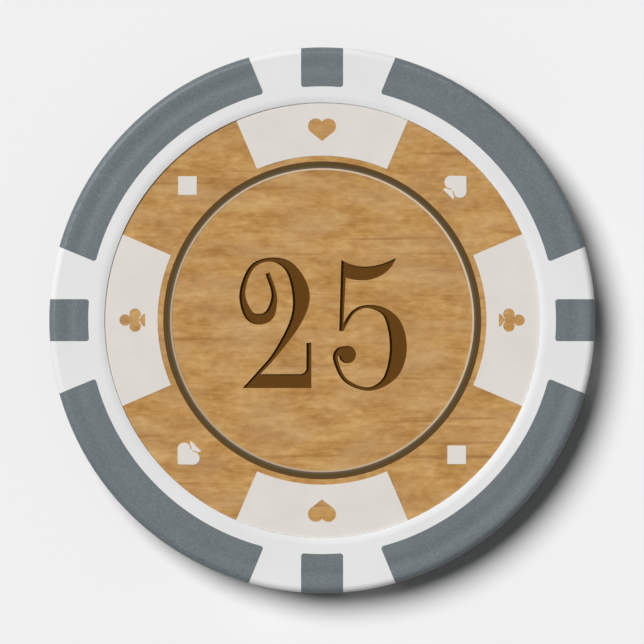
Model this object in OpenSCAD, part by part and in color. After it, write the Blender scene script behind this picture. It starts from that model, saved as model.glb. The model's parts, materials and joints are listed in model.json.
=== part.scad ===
// Poker chip: two-colour moulding round a steel slug, with a printed inlay let into each face
// Millimetres, +Z up through the faces, origin at the middle of the bottom face
// +Y points at the top of the front numeral

/* [Chip] */
// Outside diameter
chip_d = 39; // [34:0.1:46]
// Thickness over the rims
chip_t = 3.3; // [2.7:0.05:5]
// Radius that rounds both rims
rim_r = 0.45; // [0.2:0.05:1]

/* [Edge inserts] */
// Width of the coloured band, inwards from the edge
band_w = 2.8; // [2:0.1:3.4]
// Width of each short insert
short_insert_w = 3; // [1.5:0.1:5]
// Angle between the two ends of a long insert
long_insert_angle = 45; // [30:1:55]
// Distance of each end of a long insert from the middle of the chip
long_insert_offset = 2.34; // [1:0.02:3.5]
// Radius at the inner corners of every insert
insert_corner_r = 0.2; // [0.1:0.05:0.6]
// Reach of the key that locks an insert into the body
key_l = 1.2; // [1:0.1:1.4]
// Thickness of the key's neck
key_neck_t = 0.6; // [0.3:0.05:0.8]
// Diameter of the bead along the key's inner edge
key_bead_d = 0.9; // [0.85:0.05:1.1]
// Distance of each end of the key from the end of its insert
key_inset = 0.5; // [0.2:0.05:0.6]
// Width of the shallow sink round each face of the inserts
sink_w = 1.5; // [0.5:0.1:1.8]
// Depth of the sink
sink_depth = 0.035; // [0.01:0.005:0.08]
// Distance of the sink from the start of the rounded rim
sink_inset = 0.15; // [0.02:0.01:0.2]

/* [Steel slug] */
// Wall between the slug and the inserts' keys
slug_wall = 1; // [0.3:0.1:4]
// Cover between the slug and each label's recess
slug_cover_t = 0.4; // [0.1:0.05:0.8]
// Diameter of the flow holes that the body fills
flow_hole_d = 3; // [1:0.1:4]
// Distance from the slug's edge to the flow holes
flow_hole_inset = 3.5; // [1:0.1:6]
// Number of flow holes
flow_hole_count = 6; // [3:1:9]
// Diameter of the holes left by the pins that hold the slug in the mould
pin_hole_d = 1.5; // [0.5:0.1:2.5]
// Distance from the slug's edge to the pin holes
pin_hole_inset = 1.75; // [0.5:0.05:8]
// Number of pin holes in each face
pin_hole_count = 3; // [3:1:6]

/* [Label seat] */
// Distance from the chip's edge to the recess for the label
border_w = 3.95; // [3.4:0.05:5]
// Depth of the label's face below the rim
label_drop = 0.2; // [0.1:0.02:0.4]
// Width of the rounded lip round the recess
seat_lip_w = 0.5; // [0.2:0.05:0.6]
// Depth of the lip where it meets the wall of the recess
seat_lip_drop = 0.08; // [0.04:0.01:0.09]
// Gap between the label and the wall of its recess
label_clearance = 0.01; // [0.01:0.01:0.2]
// Thickness of the label
inlay_t = 0.3; // [0.25:0.05:0.5]
// Thickness of the adhesive under the label
adhesive_t = 0.05; // [0.02:0.01:0.1]
// Thickness of the printed films and foils
film_t = 0.03; // [0.01:0.01:0.06]

/* [Ring and panels] */
// Reach of the four panels, inwards from the edge of the recess
panel_l = 3.8; // [3.2:0.05:4.4]
// Angle that each panel spans
panel_angle = 46.5; // [30:0.5:60]
// Gap between the panels and the dark ring
ring_gap = 0.4; // [0.1:0.05:1]
// Width of the dark ring
ring_w = 0.49; // [0.2:0.01:1]
// Width of the pale line inside the dark ring
pinstripe_w = 0.13; // [0.05:0.01:0.4]

/* [Suit marks] */
// Width of a heart
heart_w = 2; // [1:0.05:2.4]
// Distance of a heart's lobes from the edge of the recess
heart_inset = 1.7; // [1.2:0.05:2.4]
// Width of a club
club_w = 1.66; // [1:0.05:2]
// Distance of a club's two side lobes from the edge of the recess
club_inset = 2.2; // [1.8:0.05:2.6]
// Width of a spade
spade_w = 1.85; // [1:0.05:2]
// Distance of a spade's lobes from the edge of the recess
spade_inset = 2.07; // [1.6:0.01:2.6]
// Side of a diamond, drawn as a square
diamond_w = 1.33; // [0.6:0.05:2]
// Distance of a diamond's middle from the edge of the recess
diamond_inset = 1.95; // [1.2:0.05:2.8]

/* [Numeral] */
// Height of the numeral
numeral_h = 9.32; // [6:0.02:11]
// Space between the two digits
digit_gap = 1.55; // [0.8:0.05:2.5]
// Distance of the numeral's middle below the middle of the chip
numeral_drop = 0.19; // [0:0.01:1]
// Distance of the numeral's middle to the right of the middle of the chip
numeral_right = 0.06; // [0:0.01:1]
// Depth that the numeral is pressed into the label
press_depth = 0.18; // [0.08:0.01:0.22]

/* [Hidden] */
$fn = 96;
faces = ["front", "back"];
corners = ["ne", "nw", "sw", "se"];
sides = ["e", "n", "w", "s"];
quarter = 360 / len(sides);

function long_node(i) = str("long_insert_", corners[i]);
function short_node(i) = str("short_insert_", sides[i]);
function panel_node(face, i) = str(face, "_panel_", sides[i]);
function reversed(list) = [for (i = [len(list) - 1 : -1 : 0]) list[i]];

layers = ["adhesive", "inlay", "ring", "pinstripe", "spades", "diamonds", "two", "five"];

// How far a cut runs past the surface it opens
overrun = 0.2;
// How far joined shapes of one piece run into each other
overlap = 0.1;
// Straight steps round an insert's inner corner
corner_steps = 6;
// Straight steps across the sink in an insert's face
sink_steps = 16;

chip_r = chip_d / 2;
band_r = chip_r - band_w;
key_bead_r = key_bead_d / 2;
key_inner_r = band_r - key_l;
key_bead_ring_r = key_inner_r + key_bead_r;
sink_outer_r = chip_r - rim_r - sink_inset;
seat_r = chip_r - border_w;
seat_lip_r = (pow(seat_lip_w, 2) + pow(seat_lip_drop, 2)) / (2 * seat_lip_drop);
label_r = seat_r - label_clearance;
seat_depth = label_drop + inlay_t + adhesive_t;
slug_r = key_inner_r - slug_wall;
slug_t = chip_t - 2 * (seat_depth + slug_cover_t);
flow_ring_r = slug_r - flow_hole_inset - flow_hole_d / 2;
pin_ring_r = slug_r - pin_hole_inset - pin_hole_d / 2;
panel_inner_r = seat_r - panel_l;
ring_r = panel_inner_r - ring_gap;
ring_inner_r = ring_r - ring_w;

// Heights in a face's own frame, measured up from its rim
label_z = -label_drop;
label_bottom_z = label_z - inlay_t;
seat_z = -seat_depth;

white = "whitesmoke";
grey = "slategray";
cream = "antiquewhite";
wood = "peru";
dark_brown = "saddlebrown";

// Places a face's own frame: the front as it stands, the back turned over about Y
module on_face(face) {
    if (face == "front") translate([0, 0, chip_t]) children();
    else rotate([0, 180, 0]) children();
}

// Turned shapes of the chip

module chip_solid() {
    rotate_extrude() {
        square([chip_r - rim_r, chip_t]);
        translate([0, rim_r]) square([chip_r, chip_t - 2 * rim_r]);
        for (y = [rim_r, chip_t - rim_r]) translate([chip_r - rim_r, y]) circle(rim_r);
    }
}

// Space for one label, open upwards, with a shallow lip that curves up into the rim
module seat_space() {
    lip_floor = -seat_lip_drop - overlap;
    rotate_extrude() {
        translate([0, seat_z]) square([seat_r, seat_depth + overrun]);
        difference() {
            translate([seat_r - overlap, lip_floor])
                square([seat_lip_w + overlap, overrun - lip_floor]);
            translate([seat_r + seat_lip_w, -seat_lip_r]) circle(seat_lip_r);
        }
    }
}

// Shallow round-bottomed sink, as a ring open upwards
module sink_space() {
    rotate_extrude() polygon(concat(
        [for (k = [0 : sink_steps]) [
            sink_outer_r - sink_w * (1 - k / sink_steps),
            -sink_depth * (1 - cos(360 * k / sink_steps)) / 2
        ]],
        [[sink_outer_r, overrun], [sink_outer_r - sink_w, overrun]]
    ));
}

// Plan about +X between two straight ends, each turned by half the angle and set off from the middle
module wedge(angle, end_offset) {
    turn = angle / 2;
    near = end_offset * [-sin(turn), cos(turn)];
    far = near + chip_d * [cos(turn), sin(turn)];
    polygon([[near[0], -near[1]], [far[0], -far[1]], far, near]);
}

// Edge inserts, drawn with their middle on +X

// Side of an insert that ends at y = end_offset: inwards, round the corner and on past the band's circle
function insert_side(end_offset) = let (
    centre_y = end_offset - insert_corner_r,
    centre_x = sqrt(pow(band_r + insert_corner_r, 2) - pow(centre_y, 2)),
    centre = [centre_x, centre_y],
    corner_angle = 90 + atan2(centre_y, centre_x)
) concat(
    [[chip_d, end_offset]],
    [for (k = [0 : corner_steps - 1]) let (a = 90 + corner_angle * k / corner_steps)
        centre + insert_corner_r * [cos(a), sin(a)]],
    [centre * (band_r - overlap) / norm(centre)]
);

function turned(points, angle) = [for (p = points)
    [p[0] * cos(angle) - p[1] * sin(angle), p[0] * sin(angle) + p[1] * cos(angle)]];

module insert_plan(angle, end_offset) {
    side = turned(insert_side(end_offset), angle / 2);
    difference() {
        polygon(concat(side, [for (p = reversed(side)) [p[0], -p[1]]]));
        circle(band_r);
    }
}

// Key at half the thickness: a neck with a bead along its inner edge
module insert_key(angle, end_offset) {
    intersection() {
        translate([0, 0, chip_t / 2]) rotate_extrude() {
            translate([key_bead_ring_r, 0]) circle(key_bead_r);
            translate([key_bead_ring_r, -key_neck_t / 2])
                square([band_r + overlap - key_bead_ring_r, key_neck_t]);
        }
        linear_extrude(chip_t) wedge(angle, end_offset - key_inset);
    }
}

// Room that an insert takes out of the body
module insert_space(angle, end_offset) {
    translate([0, 0, -overrun]) linear_extrude(chip_t + 2 * overrun) insert_plan(angle, end_offset);
    insert_key(angle, end_offset);
}

module edge_insert(angle, end_offset) {
    difference() {
        intersection() {
            chip_solid();
            translate([0, 0, -overrun]) linear_extrude(chip_t + 2 * overrun)
                insert_plan(angle, end_offset);
        }
        for (face = faces) on_face(face) sink_space();
    }
    insert_key(angle, end_offset);
}

module long_insert(i) {
    color(grey) rotate((i + 1 / 2) * quarter) edge_insert(long_insert_angle, long_insert_offset);
}

module short_insert(i) {
    color(grey) rotate(i * quarter) edge_insert(0, short_insert_w / 2);
}

// Steel slug, with the flow holes that lock it to the body

module steel_slug() {
    color("silver") translate([0, 0, (chip_t - slug_t) / 2]) difference() {
        cylinder(h = slug_t, r = slug_r);
        for (i = [0 : flow_hole_count - 1])
            rotate(i * 360 / flow_hole_count) translate([flow_ring_r, 0, -overrun])
                cylinder(h = slug_t + 2 * overrun, d = flow_hole_d);
    }
}

// Body, moulded round the slug and the inserts

module pin_holes() {
    for (i = [0 : pin_hole_count - 1])
        rotate((i + 1 / 4) * 360 / pin_hole_count)
            translate([pin_ring_r, 0, seat_z - slug_cover_t])
                cylinder(h = slug_cover_t + overrun, d = pin_hole_d);
}

module body() {
    color(white) difference() {
        chip_solid();
        steel_slug();
        for (face = faces) on_face(face) {
            seat_space();
            pin_holes();
        }
        for (i = [0 : len(corners) - 1])
            rotate((i + 1 / 2) * quarter) insert_space(long_insert_angle, long_insert_offset);
        for (i = [0 : len(sides) - 1])
            rotate(i * quarter) insert_space(0, short_insert_w / 2);
    }
}

// Suit marks in plan, each with its top on +X and its lobes at the origin

heart_lobe_share = 0.277;
heart_point_share = 0.524;
spade_lobe_share = 0.249;
spade_point_share = 0.59;
spade_foot_share = 0.41;
club_lobe_share = 0.244;
club_top_share = 0.43;
club_foot_share = 0.43;
foot_half_w_share = 0.29;
foot_gap_share = 0.04;
neck_half_w_share = 0.05;

// Two lobes side by side, drawn to a point on +X by their tangents
module lobes_to_point(width, lobe_r, point_x) {
    lobe_y = width / 2 - lobe_r;
    reach = norm([point_x, lobe_y]);
    tangent_angle = atan2(lobe_y, point_x) + asin(lobe_r / reach);
    tangent_l = sqrt(pow(reach, 2) - pow(lobe_r, 2));
    tangent_x = point_x - tangent_l * cos(tangent_angle);
    tangent_y = tangent_l * sin(tangent_angle);
    for (side = [1, -1]) translate([0, side * lobe_y]) circle(lobe_r);
    polygon([
        [point_x, 0], [tangent_x, tangent_y], [0, lobe_y], [0, -lobe_y], [tangent_x, -tangent_y]
    ]);
}

// Foot below two lobes, its sides hollowed at an even gap from them, with a neck up to the middle
module suit_foot(width, lobe_r, foot_x) {
    lobe_y = width / 2 - lobe_r;
    foot_y = foot_half_w_share * width;
    neck_y = neck_half_w_share * width;
    difference() {
        polygon([[0, neck_y], [-foot_x, foot_y], [-foot_x, -foot_y], [0, -neck_y]]);
        for (side = [1, -1])
            translate([0, side * lobe_y]) circle(lobe_r + foot_gap_share * width);
    }
    translate([-foot_x, -neck_y]) square([foot_x, 2 * neck_y]);
}

module heart() {
    rotate(180) lobes_to_point(heart_w, heart_lobe_share * heart_w, heart_point_share * heart_w);
}

module spade() {
    lobe_r = spade_lobe_share * spade_w;
    lobes_to_point(spade_w, lobe_r, spade_point_share * spade_w);
    suit_foot(spade_w, lobe_r, spade_foot_share * spade_w);
}

module club() {
    lobe_r = club_lobe_share * club_w;
    lobe_y = club_w / 2 - lobe_r;
    top_x = club_top_share * club_w;
    for (side = [1, -1]) translate([0, side * lobe_y]) circle(lobe_r);
    translate([top_x, 0]) circle(lobe_r);
    polygon([[top_x, 0], [0, lobe_y], [0, -lobe_y]]);
    suit_foot(club_w, lobe_r, club_foot_share * club_w);
}

// Numeral in plan, in shares of its height, with each digit's left edge and base at the origin

// Value at t between b and c on the smooth curve through a, b, c and d
function through(a, b, c, d, t) = b + (t / 2) * ((c - a) + t * ((2 * a - 5 * b + 4 * c - d)
    + t * (3 * (b - c) + d - a)));

// Smooth curve through all the points, with the given number of steps between neighbours
function curve(points, steps) = let (last = len(points) - 1) [
    for (i = [0 : last - 1], k = [0 : i == last - 1 ? steps : steps - 1])
        through(points[max(i - 1, 0)], points[i], points[i + 1], points[min(i + 2, last)], k / steps)
];

// Curve from the first of four points to the last, drawn towards the two between them
function handle_curve(p, steps) = [for (k = [0 : steps]) let (t = k / steps, u = 1 - t)
    pow(u, 3) * p[0] + 3 * t * pow(u, 2) * p[1] + 3 * pow(t, 2) * u * p[2] + pow(t, 3) * p[3]];

// Points down one side of a pen stroke: its line holds x, y and the width of the pen
function stroke_side(line, side) = let (last = len(line) - 1) [for (i = [0 : last])
    let (along = line[min(i + 1, last)] - line[max(i - 1, 0)])
    [line[i][0], line[i][1]]
        + side * line[i][2] / 2 * [-along[1], along[0]] / norm([along[0], along[1]])];

curve_steps = 6;

module pen_stroke(point_shares) {
    line = curve(numeral_h * point_shares, curve_steps);
    polygon(concat(stroke_side(line, -1), reversed(stroke_side(line, 1))));
}

two_w_share = 0.552;
two_stroke_shares = [
    [0.216, 0.880, 0.034], [0.267, 0.713, 0.041], [0.234, 0.568, 0.076], [0.152, 0.528, 0.083],
    [0.069, 0.568, 0.072], [0.023, 0.730, 0.045], [0.096, 0.926, 0.035], [0.246, 0.985, 0.032],
    [0.391, 0.919, 0.083], [0.473, 0.720, 0.133], [0.431, 0.511, 0.088], [0.278, 0.264, 0.039],
    [0.140, 0.106, 0.030]
];
two_base_top_share = 0.107;
two_base_shares = [[0.168, 0.107], [0.139, 0.126], [0.025, 0]];
two_serif_w_share = 0.038;
two_serif_top_share = 0.347;
two_serif_fillet_share = 0.05;

module digit_two() {
    w = two_w_share * numeral_h;
    base_top = two_base_top_share * numeral_h;
    serif_x = w - two_serif_w_share * numeral_h;
    fillet_r = two_serif_fillet_share * numeral_h;
    pen_stroke(two_stroke_shares);
    polygon(concat(numeral_h * two_base_shares, [
        [w, 0], [w, two_serif_top_share * numeral_h],
        [serif_x, two_serif_top_share * numeral_h], [serif_x, base_top]
    ]));
    difference() {
        translate([serif_x - fillet_r, base_top - overlap])
            square([fillet_r + overlap, fillet_r + overlap]);
        translate([serif_x - fillet_r, base_top + fillet_r]) circle(fillet_r);
    }
}

five_w_share = 0.563;
five_bowl_shares = [
    [0.067, 0.442, 0.028], [0.148, 0.576, 0.026], [0.253, 0.625, 0.025], [0.386, 0.591, 0.053],
    [0.471, 0.480, 0.113], [0.500, 0.309, 0.131], [0.467, 0.145, 0.112], [0.381, 0.035, 0.053],
    [0.253, -0.007, 0.026], [0.092, 0.063, 0.030], [0.019, 0.216, 0.037], [0.040, 0.284, 0.044],
    [0.100, 0.296, 0.054]
];
five_ball_share = [0.109, 0.257];
five_ball_r_share = 0.067;
five_stem_shares = [[0.063, 0.982], [0.047, 0.437], [0.077, 0.437], [0.097, 0.848], [0.097, 0.914]];
five_flag_base_shares = [[0.097, 0.848], [0.280, 0.783], [0.437, 0.866], [0.483, 0.998]];
five_flag_top_shares = [[0.483, 0.998], [0.315, 0.909], [0.175, 0.914], [0.063, 0.982]];

module digit_five() {
    pen_stroke(five_bowl_shares);
    translate(numeral_h * five_ball_share) circle(five_ball_r_share * numeral_h);
    polygon(numeral_h * five_stem_shares);
    base = handle_curve(numeral_h * five_flag_base_shares, 2 * curve_steps);
    top = handle_curve(numeral_h * five_flag_top_shares, 2 * curve_steps);
    polygon(concat(base, top));
}

numeral_w = (two_w_share + five_w_share) * numeral_h + digit_gap;
numeral_x = numeral_right - numeral_w / 2;
numeral_y = -numeral_h / 2 - numeral_drop;

module placed_two() {
    translate([numeral_x, numeral_y]) digit_two();
}

module placed_five() {
    translate([numeral_x + two_w_share * numeral_h + digit_gap, numeral_y]) digit_five();
}

// Layers of one label

module adhesive(face) {
    color("lightyellow") on_face(face) translate([0, 0, seat_z])
        cylinder(h = adhesive_t, r = label_r);
}

module inlay(face) {
    color(wood) on_face(face) difference() {
        translate([0, 0, label_bottom_z]) cylinder(h = inlay_t, r = label_r);
        translate([0, 0, label_z - press_depth]) linear_extrude(press_depth + overrun) {
            placed_two();
            placed_five();
        }
    }
}

// Film of a plan laid on top of the label
module film(face) {
    on_face(face) translate([0, 0, label_z]) linear_extrude(film_t) children();
}

module ring(face) {
    color(dark_brown) film(face) difference() {
        circle(ring_r);
        circle(ring_inner_r);
    }
}

module pinstripe(face) {
    color(cream) film(face) difference() {
        circle(ring_inner_r);
        circle(ring_inner_r - pinstripe_w);
    }
}

// Clubs are cut from the panels on X, hearts from those on Y
module panel(face, i) {
    color(cream) film(face) rotate(i * quarter) difference() {
        intersection() {
            circle(label_r);
            wedge(panel_angle, 0);
        }
        circle(panel_inner_r);
        if (i % 2 == 0) translate([seat_r - club_inset, 0]) club();
        else translate([seat_r - heart_inset, 0]) heart();
    }
}

module spades(face) {
    color(cream) film(face) for (turn = [1, 5])
        rotate(turn * quarter / 2) translate([seat_r - spade_inset, 0]) spade();
}

module diamonds(face) {
    color(cream) film(face) for (turn = [3, 7])
        rotate(turn * quarter / 2) translate([seat_r - diamond_inset, 0]) rotate(quarter / 2)
            square(diamond_w, center = true);
}

// Foil on the floor of a pressed digit
module foil(face) {
    color(dark_brown) on_face(face) translate([0, 0, label_z - press_depth])
        linear_extrude(film_t) children();
}

module two(face) {
    foil(face) placed_two();
}

module five(face) {
    foil(face) placed_five();
}

body();
steel_slug();
for (i = [0 : len(corners) - 1]) {
    long_insert(i);
}
for (i = [0 : len(sides) - 1]) {
    short_insert(i);
}
for (face = faces) {
    adhesive(face);
    inlay(face);
    ring(face);
    pinstripe(face);
    spades(face);
    diamonds(face);
    two(face);
    five(face);
    for (i = [0 : len(sides) - 1]) {
        panel(face, i);
    }
}
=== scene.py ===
import json
import math

import bmesh
import bpy
from mathutils import Color, Matrix, Vector


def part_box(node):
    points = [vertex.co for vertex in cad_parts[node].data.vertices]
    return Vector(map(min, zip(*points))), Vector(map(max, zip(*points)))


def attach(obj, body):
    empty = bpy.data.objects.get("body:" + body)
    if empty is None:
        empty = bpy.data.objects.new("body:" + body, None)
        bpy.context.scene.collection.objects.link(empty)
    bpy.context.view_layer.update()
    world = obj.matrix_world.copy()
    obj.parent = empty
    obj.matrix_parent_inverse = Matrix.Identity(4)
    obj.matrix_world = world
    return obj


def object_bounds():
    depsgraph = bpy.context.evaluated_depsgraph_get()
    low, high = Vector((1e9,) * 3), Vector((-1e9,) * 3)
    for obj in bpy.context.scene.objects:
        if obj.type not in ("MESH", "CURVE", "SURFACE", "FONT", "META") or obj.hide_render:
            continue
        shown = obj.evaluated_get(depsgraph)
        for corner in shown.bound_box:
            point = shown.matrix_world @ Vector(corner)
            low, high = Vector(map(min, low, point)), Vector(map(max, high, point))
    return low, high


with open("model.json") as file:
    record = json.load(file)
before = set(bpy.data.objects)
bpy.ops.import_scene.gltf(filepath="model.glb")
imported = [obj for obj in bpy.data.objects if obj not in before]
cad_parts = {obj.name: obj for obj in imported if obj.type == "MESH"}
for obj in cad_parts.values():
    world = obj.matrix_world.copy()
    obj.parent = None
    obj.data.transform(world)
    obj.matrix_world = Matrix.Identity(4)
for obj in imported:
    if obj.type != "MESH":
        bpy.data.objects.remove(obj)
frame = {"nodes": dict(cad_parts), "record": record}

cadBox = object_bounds()
nodes = frame["nodes"]
mm = 0.001
print("frame loaded:", len(nodes), "nodes")


def linear(red, green, blue):  # colour as picked on screen, to the shader's scale
    picked = Color((red, green, blue)) / 255
    return (*picked.from_srgb_to_scene_linear(), 1)


class Value:  # a socket, so that a formula adds its own Math nodes
    def __init__(self, finish, socket):
        self.finish = finish
        self.socket = socket

    def maths(self, operation, first, second):
        return self.finish.add("Math", {"operation": operation}, {0: first, 1: second})

    def __add__(self, other):
        return self.maths("ADD", self, other)

    def __radd__(self, other):
        return self.maths("ADD", other, self)

    def __sub__(self, other):
        return self.maths("SUBTRACT", self, other)

    def __rsub__(self, other):
        return self.maths("SUBTRACT", other, self)

    def __mul__(self, other):
        return self.maths("MULTIPLY", self, other)

    def __rmul__(self, other):
        return self.maths("MULTIPLY", other, self)

    def __truediv__(self, other):
        return self.maths("DIVIDE", self, other)

    def __rtruediv__(self, other):
        return self.maths("DIVIDE", other, self)


class Finish:  # the nodes of one material, or of the world
    def __init__(self, name, holder=None):
        self.holder = holder or bpy.data.materials.new(name)
        self.holder.use_nodes = True
        self.tree = self.holder.node_tree
        self.tree.nodes.clear()

    def add(self, kind, settings=None, inputs=None, output=0):
        node = self.tree.nodes.new("ShaderNode" + kind)
        for name, setting in (settings or {}).items():
            if name == "stops":
                while len(node.color_ramp.elements) < len(setting):
                    node.color_ramp.elements.new(1)
                for stop, (place, colour) in zip(node.color_ramp.elements, setting):
                    stop.position = place
                    stop.color = colour
            else:
                setattr(node, name, setting)
        for name, given in (inputs or {}).items():
            if isinstance(given, Value):
                self.tree.links.new(given.socket, node.inputs[name])
            else:
                node.inputs[name].default_value = given
        return Value(self, node.outputs[output]) if node.outputs else None

    def place(self):  # object coordinates in millimetres
        return self.add("VectorMath", {"operation": "SCALE"}, {
            0: self.add("TexCoord", output="Object"), "Scale": 1 / mm}, "Vector")

    def flat(self, place):  # the same without its height
        return self.add("VectorMath", {"operation": "MULTIPLY"}, {0: place, 1: (1, 1, 0)}, "Vector")

    def radius(self, place):  # from the chip's middle
        return self.add("VectorMath", {"operation": "LENGTH"}, {0: self.flat(place)}, "Value")

    def noise(self, place, scale=1, stretch=None, detail=2, rough=0.5):  # in waves to the millimetre
        if stretch:
            place = self.add("Mapping", {"vector_type": "POINT"}, {"Vector": place, "Scale": stretch})
        return self.add("TexNoise", None, {
            "Vector": place, "Scale": scale, "Detail": detail, "Roughness": rough}, "Fac")

    def between(self, value, low, high, start=0, end=1):
        return self.add("MapRange", {"clamp": True}, {
            "Value": value, "From Min": low, "From Max": high, "To Min": start, "To Max": end})

    def mix(self, share, first, second):  # 6, 7 and 2 are the node's colour sockets
        return self.add("Mix", {"data_type": "RGBA"}, {"Factor": share, 6: first, 7: second}, 2)

    def ramp(self, value, places, colours):
        return self.add("ValToRGB", {"stops": list(zip(places, colours))}, {"Fac": value}, "Color")

    def surface(self, look, colour, grain, **sockets):  # the grain shows in the gloss and the bump
        normal = self.add("Bump", None, {
            "Height": grain, "Strength": look["bump"], "Distance": look["bumpDepth"]}, "Normal")
        shader = self.add("BsdfPrincipled", None, {
            "Base Color": colour,
            "Roughness": look["roughness"] + look["unevenness"] * grain,
            "Specular IOR Level": look["gloss"],
            "Normal": normal,
            **sockets,
        })
        self.add("OutputMaterial", None, {"Surface": shader})
        return self.holder


# White moulding and cream film, both faintly clouded

bodyLook = {
    "colour": linear(225, 225, 225),
    "shade": linear(221, 221, 222),
    "cloud": {"scale": 0.22, "detail": 3},
    "cloudRange": (0.35, 0.65),
    "grain": {"scale": 9, "detail": 3, "rough": 0.6},
    "roughness": 0.42,
    "unevenness": 0.12,
    "gloss": 0.3,
    "bump": 0.12,
    "bumpDepth": 0.02 * mm,
}

creamLook = {
    "colour": linear(219, 214, 207),
    "shade": linear(215, 210, 203),
    "cloud": {"scale": 0.5, "detail": 3},
    "cloudRange": (0.35, 0.65),
    "grain": {"scale": 10},
    "roughness": 0.5,
    "unevenness": 0.1,
    "gloss": 0.25,
    "bump": 0.06,
    "bumpDepth": 0.01 * mm,
}


def cloudedFinish(name, look):
    finish = Finish(name)
    place = finish.place()
    cloud = finish.noise(place, **look["cloud"])
    grain = finish.noise(place, **look["grain"])
    colour = finish.mix(finish.between(cloud, *look["cloudRange"]), look["shade"], look["colour"])
    return finish.surface(look, colour, grain)


# Grey edge mouldings, with the round marks of the mould's pins on the four long ones, drawn as pale
# lines that are a painted highlight on the marks' raised edges

insertLook = {
    "colour": linear(96, 104, 107),
    "dark": linear(90, 98, 101),
    "pale": linear(118, 126, 129),
    "cloud": {"scale": 0.35, "detail": 3},
    "cloudRange": (0.3, 0.7),
    "grain": {"scale": 6, "detail": 4, "rough": 0.65},
    "grainRange": (0.35, 0.7),
    "grainMost": 0.6,
    "roughness": 0.4,
    "unevenness": 0.1,
    "gloss": 0.3,
    "bump": 0.25,
    "bumpDepth": 0.02 * mm,
}

pinMark = {  # in millimetres, as the shader's places are; the pale colour is a painted highlight
    "colour": linear(112, 120, 123),
    "count": 4,
    "turn": 58.3,  # degrees from X to the first
    "inset": 1.22,  # from the chip's edge to the middle of each
    "radius": 0.77,
    "line": 0.09,
    "breakup": {"scale": 1.1},
    "breakupRange": (0.42, 0.62),
}


def pinMarks(finish, place, look):  # 1 on the painted highlight line of each circle, broken up by noise, 0 off it
    flat = finish.flat(place)
    reach = cadBox[1].x / mm - look["inset"]
    away = reach
    for step in range(look["count"]):
        turn = math.radians(look["turn"] + 360 / look["count"] * step)
        middle = (reach * math.cos(turn), reach * math.sin(turn), 0)
        apart = finish.add("VectorMath", {"operation": "DISTANCE"}, {0: flat, 1: middle}, "Value")
        away = finish.add("Math", {"operation": "MINIMUM"}, {0: apart, 1: away})
    offLine = finish.add("Math", {"operation": "ABSOLUTE"}, {0: away - look["radius"]})
    breakup = finish.noise(place, **look["breakup"])
    return finish.between(offLine, 0, look["line"], 1, 0) * finish.between(breakup, *look["breakupRange"])


def insertFinish(look, mark):
    finish = Finish("insertGrey")
    place = finish.place()
    cloud = finish.noise(place, **look["cloud"])
    grain = finish.noise(place, **look["grain"])
    speckle = finish.between(grain, *look["grainRange"], 0, look["grainMost"])
    colour = finish.mix(finish.between(cloud, *look["cloudRange"]), look["dark"], look["colour"])
    colour = finish.mix(speckle, colour, look["pale"])
    # pale circle lines: painted highlight on the raised edge of each pin mark
    colour = finish.mix(pinMarks(finish, place, mark), colour, mark["colour"])
    return finish.surface(look, colour, grain)


# Wood-effect disc, its grain along X

woodLook = {
    "dark": linear(151, 100, 35),
    "base": linear(181, 136, 74),
    "pale": linear(206, 165, 106),
    "toneStops": (0.32, 0.5, 0.68),
    "blotch": {"stretch": (0.3, 0.9, 1), "detail": 3, "rough": 0.55},
    "blotchShare": 0.52,
    "fibre": {"stretch": (1.1, 4.5, 1), "detail": 3},
    "fibreShare": 0.23,
    "mottle": {"stretch": (1.6, 2.4, 1)},
    "mottleShare": 0.25,
    "grey": linear(186, 152, 110),
    "haze": {"stretch": (0.25, 0.5, 2)},
    "hazeRange": (0.45, 0.7),
    "hazeMost": 0.4,
    "streakColour": linear(140, 88, 32),
    "streak": {"stretch": (0.07, 2, 1)},
    "streakRange": (0.28, 0.38),
    "streakMost": 0.5,
    "roughness": 0.5,
    "unevenness": 0.1,
    "gloss": 0.25,
    "bump": 0.08,
    "bumpDepth": 0.01 * mm,
}


def woodFinish(look):
    finish = Finish("inlayWood")
    place = finish.place()
    blotch = finish.noise(place, **look["blotch"])
    fibre = finish.noise(place, **look["fibre"])
    mottle = finish.noise(place, **look["mottle"])
    haze = finish.between(finish.noise(place, **look["haze"]), *look["hazeRange"], 0, look["hazeMost"])
    streak = finish.noise(place, **look["streak"])
    streak = finish.between(streak, *look["streakRange"], look["streakMost"], 0)
    tone = look["blotchShare"] * blotch + look["fibreShare"] * fibre + look["mottleShare"] * mottle
    colour = finish.ramp(tone, look["toneStops"], (look["dark"], look["base"], look["pale"]))
    colour = finish.mix(haze, colour, look["grey"])
    colour = finish.mix(streak, colour, look["streakColour"])
    return finish.surface(look, colour, fibre)


# Dark ring, with painted bevel shading across its width: pale at the inner edge, dark in the middle,
# brown at the outer

ringLook = {
    "inner": linear(103, 91, 74),
    "middle": linear(81, 64, 34),
    "outer": linear(89, 63, 31),
    "stops": (0, 0.4, 1),
    "grain": {"scale": 12},
    "roughness": 0.5,
    "unevenness": 0.1,
    "gloss": 0.1,
    "bump": 0.05,
    "bumpDepth": 0.01 * mm,
}


def ringFinish(look):
    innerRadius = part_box("front_pinstripe")[1].x / mm  # the pinstripe fills the ring
    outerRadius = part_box("front_ring")[1].x / mm
    finish = Finish("ringFoil")
    place = finish.place()
    across = finish.between(finish.radius(place), innerRadius, outerRadius)
    grain = finish.noise(place, **look["grain"])
    # painted bevel shading, from the pale inner edge through the dark middle to the outer edge
    colour = finish.ramp(across, look["stops"], (look["inner"], look["middle"], look["outer"]))
    return finish.surface(look, colour, grain)


# Pinstripe, a pale printed line along the ring's inner edge that is also a painted highlight, shaded
# from one side of the label to the other

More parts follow.
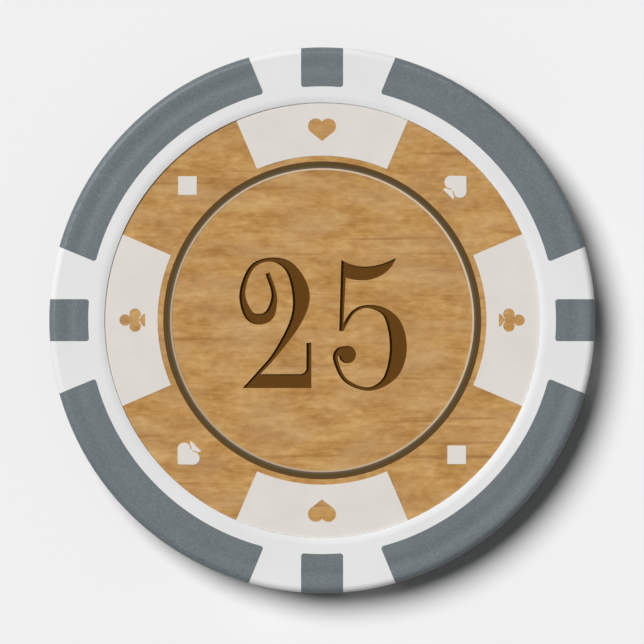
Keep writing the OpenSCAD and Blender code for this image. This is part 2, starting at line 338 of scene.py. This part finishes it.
pinstripeLook = {
    "bright": linear(208, 187, 160),
    "dim": linear(176, 154, 126),
    "brightTurn": 45,  # degrees from the numeral's right to where the painted highlight is brightest
    "grain": {"scale": 7, "detail": 3},
    "roughness": 0.5,
    "unevenness": 0.1,
    "gloss": 0.25,
    "bump": 0.05,
    "bumpDepth": 0.01 * mm,
}


def pinstripeFinish(look):
    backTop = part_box("back_pinstripe")[1].z / mm
    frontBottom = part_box("front_pinstripe")[0].z / mm
    turn = math.radians(look["brightTurn"])
    finish = Finish("pinstripeInkHighlight")
    place = finish.place()
    x, y, z = (finish.add("SeparateXYZ", None, {"Vector": place}, axis) for axis in "XYZ")
    right = x * finish.between(z, backTop, frontBottom, -1, 1)  # each face's own right
    towards = (right * math.cos(turn) + y * math.sin(turn)) / finish.radius(place)
    grain = finish.noise(place, **look["grain"])
    # painted highlight: dim on one side of the label, bright on the other
    colour = finish.mix(finish.between(towards, -1, 1), look["dim"], look["bright"])
    return finish.surface(look, colour, grain)


# Plain layers: the numeral's dark foil, which shows only as painted shade along each numeral's left
# edge, and the adhesive

plainLayer = {
    "dimming": 0.9,
    "grain": {"scale": 7, "detail": 3},
    "grainRange": (0.3, 0.6),
    "unevenness": 0.1,
    "bump": 0.05,
    "bumpDepth": 0.01 * mm,
}

# dark foil colour, seen only as the painted shade along each numeral's left edge
shadeFoilLook = {
    **plainLayer,
    "colour": linear(48, 31, 2),
    "roughness": 0.6,
    "gloss": 0.02,
}

adhesiveLook = {
    **plainLayer,
    "colour": linear(226, 214, 170),
    "roughness": 0.35,
    "gloss": 0.5,
}


def layerFinish(name, look):
    finish = Finish(name)
    grain = finish.noise(finish.place(), **look["grain"])
    dim = tuple(look["dimming"] * level for level in look["colour"][:3]) + (1,)
    colour = finish.mix(finish.between(grain, *look["grainRange"]), dim, look["colour"])
    return finish.surface(look, colour, grain)


# Steel slug

steelLook = {
    "dark": linear(120, 122, 125),
    "pale": linear(158, 160, 162),
    "brush": {"stretch": (0.4, 14, 1)},
    "roughness": 0.25,
    "unevenness": 0.25,
    "gloss": 0.5,
    "bump": 0.1,
    "bumpDepth": 0.01 * mm,
}


def steelFinish(look):
    finish = Finish("slugSteel")
    brush = finish.noise(finish.place(), **look["brush"])
    return finish.surface(look, finish.mix(brush, look["dark"], look["pale"]), brush, Metallic=1)


finishes = {
    "body_white": cloudedFinish("bodyWhite", bodyLook),
    "insert_grey": insertFinish(insertLook, pinMark),
    "slug_steel": steelFinish(steelLook),
    "label_adhesive": layerFinish("labelAdhesive", adhesiveLook),
    "inlay_wood": woodFinish(woodLook),
    "ring_foil": ringFinish(ringLook),
    "pinstripe_ink": pinstripeFinish(pinstripeLook),
    "cream_film": cloudedFinish("creamFilm", creamLook),
    "numeral_foil": layerFinish("numeralFoilPaintedShade", shadeFoilLook),
}
for subpart in frame["record"]["subparts"]:
    materials = nodes[subpart["node"]].data.materials
    materials.clear()
    materials.append(finishes[subpart["material_slot"]])
print("finishes on every node")


# Brown print over each numeral's dark foil, set a little to the right so that a dark edge shows:
# painted shade, standing in for the shadow inside each pressed numeral's left wall

printLook = {
    **plainLayer,
    "colour": linear(93, 58, 6),
    "roughness": 0.55,
    "gloss": 0.1,
    # how far the print sits to the right, which is the width of the painted shade
    "shift": 0.18 * mm,
    "thickness": 0.006 * mm,
    "outlineThickness": 0.024 * mm,  # of the foil's outline, which trims the print
}
mergeDistance = 0.0001 * mm


def filmCopy(name, source, height, thickness, shift):  # copy of a CAD film, its middle at this height
    low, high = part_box(source)
    bm = bmesh.new()
    bm.from_mesh(nodes[source].data)
    bmesh.ops.remove_doubles(bm, verts=bm.verts, dist=mergeDistance)
    bmesh.ops.translate(bm, verts=bm.verts, vec=(0, 0, -low.z))
    bmesh.ops.scale(bm, verts=bm.verts, vec=(1, 1, thickness / (high.z - low.z)))
    bmesh.ops.translate(bm, verts=bm.verts, vec=(shift, 0, height - thickness / 2))
    mesh = bpy.data.meshes.new(name)
    bm.to_mesh(mesh)
    bm.free()
    normals = mesh.attributes.get("custom_normal")
    if normals:
        mesh.attributes.remove(normals)
    mesh.shade_flat()
    piece = bpy.data.objects.new(name, mesh)
    bpy.context.scene.collection.objects.link(piece)
    return piece


def makePrint(face, digit, look, material):
    source = face + "_" + digit
    low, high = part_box(source)
    right = 1 if face == "front" else -1
    foilFace = high.z if face == "front" else low.z
    piece = filmCopy(source + "_print", source, foilFace, look["thickness"], right * look["shift"])
    outline = filmCopy(source + "_outline", source, foilFace, look["outlineThickness"], 0)
    cut = piece.modifiers.new("inside the foil", "BOOLEAN")
    cut.operation = "INTERSECT"
    cut.solver = "EXACT"
    cut.object = outline
    bpy.context.view_layer.update()
    depsgraph = bpy.context.evaluated_depsgraph_get()
    mesh = bpy.data.meshes.new_from_object(piece.evaluated_get(depsgraph))
    piece.modifiers.clear()
    piece.data = mesh
    bpy.data.objects.remove(outline)
    mesh.materials.clear()
    mesh.materials.append(material)
    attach(piece, "root")


numeralBrown = layerFinish("numeralBrown", printLook)
for face in ("front", "back"):
    for digit in ("two", "five"):
        makePrint(face, digit, printLook, numeralBrown)
print("numeral print laid")


# Studio


def stagePiece(name, bm, material):
    mesh = bpy.data.meshes.new(name)
    bm.to_mesh(mesh)
    bm.free()
    mesh.materials.append(material)
    piece = bpy.data.objects.new(name, mesh)
    bpy.context.scene.collection.objects.link(piece)
    return piece


floorSet = {
    "colour": linear(241, 241, 241),
    "size": 1.2,  # metres
    "roughness": 0.9,
}


def makeFloor(look):
    finish = Finish("floorPaper")
    paper = finish.add("BsdfPrincipled", None, {
        "Base Color": look["colour"], "Roughness": look["roughness"], "Specular IOR Level": 0})
    finish.add("OutputMaterial", None, {"Surface": paper})
    bm = bmesh.new()
    bmesh.ops.create_grid(bm, x_segments=1, y_segments=1, size=look["size"] / 2)
    stagePiece("floor", bm, finish.holder)


flagSet = {
    "gap": 0.03 * mm,
    "foot": 0.26 * mm,  # slopes in under the chip's rounded edge
    "sweep": 198,  # degrees round the chip's lit side
    "steps": 99,
}


def makeFlag(look, keyTurn):  # black, seen by bounced light alone, so the lit white edge casts no glow
    finish = Finish("flagCloth")
    inside = finish.add("NewGeometry", output="Backfacing")
    cloth = finish.add("BsdfDiffuse", None, {"Color": (0, 0, 0, 1)})
    clear = finish.add("BsdfTransparent")
    surface = finish.add("MixShader", None, {0: inside, 1: cloth, 2: clear})
    finish.add("OutputMaterial", None, {"Surface": surface})
    bottom, top = cadBox
    start, sweep = math.radians(keyTurn - look["sweep"] / 2), math.radians(look["sweep"])
    reach, foot = top.x + look["gap"], look["foot"]
    profile = ((reach - foot, bottom.z), (reach, bottom.z + foot), (reach, top.z))
    bm = bmesh.new()
    verts = [bm.verts.new((x, 0, z)) for x, z in profile]
    edges = [bm.edges.new(pair) for pair in zip(verts, verts[1:])]
    bmesh.ops.rotate(bm, verts=verts, matrix=Matrix.Rotation(start, 3, "Z"))
    bmesh.ops.spin(bm, geom=verts + edges, axis=(0, 0, 1), angle=sweep, steps=look["steps"])
    bmesh.ops.recalc_face_normals(bm, faces=bm.faces)
    flag = stagePiece("flag", bm, finish.holder)
    flag.visible_camera = False
    flag.visible_glossy = False
    flag.visible_transmission = False
    flag.visible_shadow = False


keySet = {
    "turn": 139,  # degrees from X to the light
    "rise": 55.5,  # degrees above the floor
    "spread": 34,  # degrees across, which softens the shadows
    "level": 0.93,  # falling on the floor, where 1 shows a colour as it is written
}


def makeKey(look):
    turn, rise = math.radians(look["turn"]), math.radians(look["rise"])
    towards = Vector((
        math.cos(turn) * math.cos(rise), math.sin(turn) * math.cos(rise), math.sin(rise)))
    lamp = bpy.data.lights.new("key", "SUN")
    lamp.angle = math.radians(look["spread"])
    lamp.energy = look["level"] * math.pi / math.sin(rise)
    key = bpy.data.objects.new("key", lamp)
    key.rotation_euler = towards.to_track_quat("Z", "Y").to_euler()
    bpy.context.scene.collection.objects.link(key)


worldSet = {
    "fill": linear(255, 255, 255),
    "fillLevel": 0.065,
    "backdropLevel": 1,
}


def makeWorld(look, backdropColour):
    world = bpy.data.worlds.new("studio")
    bpy.context.scene.world = world
    finish = Finish("studio", world)
    kinds = ("Camera", "Glossy", "Transmission")
    camera, glossy, through = (finish.add("LightPath", output="Is " + kind + " Ray") for kind in kinds)
    fill = finish.add("Background", None, {"Color": look["fill"], "Strength": look["fillLevel"]})
    backdrop = finish.add("Background", None, {
        "Color": backdropColour, "Strength": look["backdropLevel"]})
    surface = finish.add("MixShader", None, {0: camera + glossy + through, 1: fill, 2: backdrop})
    finish.add("OutputWorld", None, {"Surface": surface})


cameraSet = {
    "framePixels": 644,
    "pixelsPerMm": 14.0,
    "chipPixel": (322.1, 320.2),  # the chip's middle in the frame
    "distance": 0.6,  # metres above the label
    "sensor": 36,
    "clipStart": 0.01,
}


def makeCamera(look):  # straight above, scaled at the label's face
    perMm = look["pixelsPerMm"]
    middle = look["framePixels"] / 2
    chipX, chipY = look["chipPixel"]
    data = bpy.data.cameras.new("camera")
    data.sensor_width = look["sensor"]
    data.lens = look["sensor"] * look["distance"] / (look["framePixels"] / perMm * mm)
    data.clip_start = look["clipStart"]
    camera = bpy.data.objects.new("camera", data)
    camera.location = (
        (middle - chipX) / perMm * mm,
        (chipY - middle) / perMm * mm,
        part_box("front_inlay")[1].z + look["distance"],
    )
    bpy.context.scene.collection.objects.link(camera)
    bpy.context.scene.camera = camera


makeFloor(floorSet)
makeFlag(flagSet, keySet["turn"])
makeKey(keySet)
makeWorld(worldSet, floorSet["colour"])
makeCamera(cameraSet)
bpy.context.scene.view_settings.view_transform = "Standard"
print("studio set")
